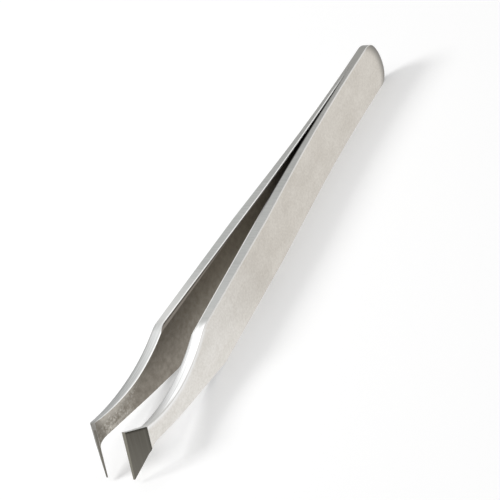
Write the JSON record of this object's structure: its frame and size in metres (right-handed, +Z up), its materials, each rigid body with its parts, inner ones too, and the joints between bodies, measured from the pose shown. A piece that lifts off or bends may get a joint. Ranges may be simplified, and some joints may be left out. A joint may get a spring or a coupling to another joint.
{
  "type": "cutting tweezers",
  "caption": "Cutting tweezers in satin stainless steel: two arms welded at a rounded end, thick ground bellies, slim necks and inward-turned oblique cutting jaws.",
  "frame": {"origin": "under the middle of the bounding box, on the surface that the lower edges of both arms rest on", "axes": "+X from the rear end to the jaws, +Y from the left arm to the right arm across the gap, +Z up over the width of the arms"},
  "size_m": [0.115, 0.0132, 0.0097],
  "materials": {
    "stainless": "satin"
  },
  "bodies": {
    "root": {"right_arm": "stainless", "left_arm": "stainless"}
  },
  "joints": []
}
